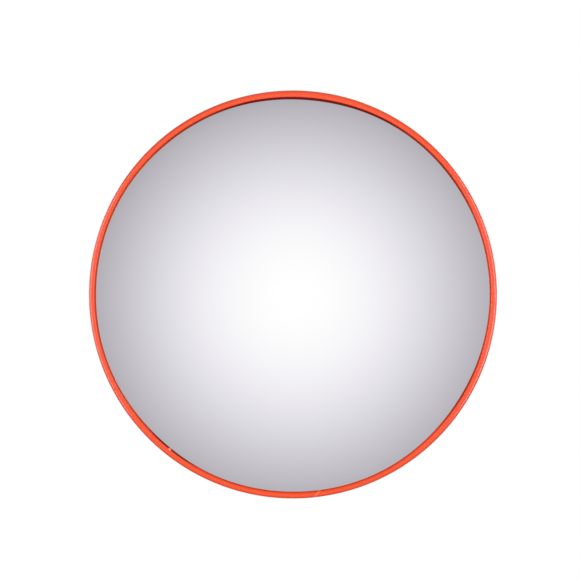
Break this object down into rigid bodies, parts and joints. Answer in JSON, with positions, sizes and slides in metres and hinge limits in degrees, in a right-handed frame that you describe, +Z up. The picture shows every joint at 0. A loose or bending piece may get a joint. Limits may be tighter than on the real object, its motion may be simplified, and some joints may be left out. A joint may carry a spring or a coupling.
{
  "type": "convex traffic mirror",
  "caption": "Round convex traffic mirror with a domed lens in an orange edge trim and back shell, on a wall bracket that pans and tilts.",
  "frame": {"origin": "middle of the wall bracket's back face, on the wall", "axes": "+Z up, +Y into the wall, so the mirror looks along -Y, +X to the right of someone who faces it"},
  "size_m": [0.305, 0.1935, 0.305],
  "materials": {
    "mirror": "polished, metallised sheet",
    "trim": "soft satin orange",
    "shell": "moulded orange",
    "zinc": "bright zinc plate",
    "nylon": "plain black"
  },
  "bodies": {
    "wall_mount": {"wall_bracket": "zinc", "pan_bolt": "zinc", "pan_washers": "zinc", "pan_spring_washer": "zinc", "pan_nut": "zinc", "pan_friction_washers": "nylon"},
    "swivel": {"swivel_arm": "zinc"},
    "mirror_head": {"mirror_lens": "mirror", "edge_trim": "trim", "back_shell": "shell", "inner_plate": "zinc", "inner_nuts": "zinc", "bracket_screws": "zinc", "screw_washers": "zinc", "mirror_bracket": "zinc", "tilt_bolt": "zinc", "tilt_washers": "zinc", "tilt_spring_washer": "zinc", "tilt_nut": "zinc", "tilt_friction_washers": "nylon"}
  },
  "joints": [
    {"name": "pan", "type": "hinge", "parent": "wall_mount", "child": "swivel", "pos_m": [0, -0.036, 0], "axis": [0, 0, 1], "range_deg": [-40, 40]},
    {"name": "tilt", "type": "hinge", "parent": "swivel", "child": "mirror_head", "pos_m": [0, -0.088, 0], "axis": [1, 0, 0], "range_deg": [-30, 30]}
  ]
}
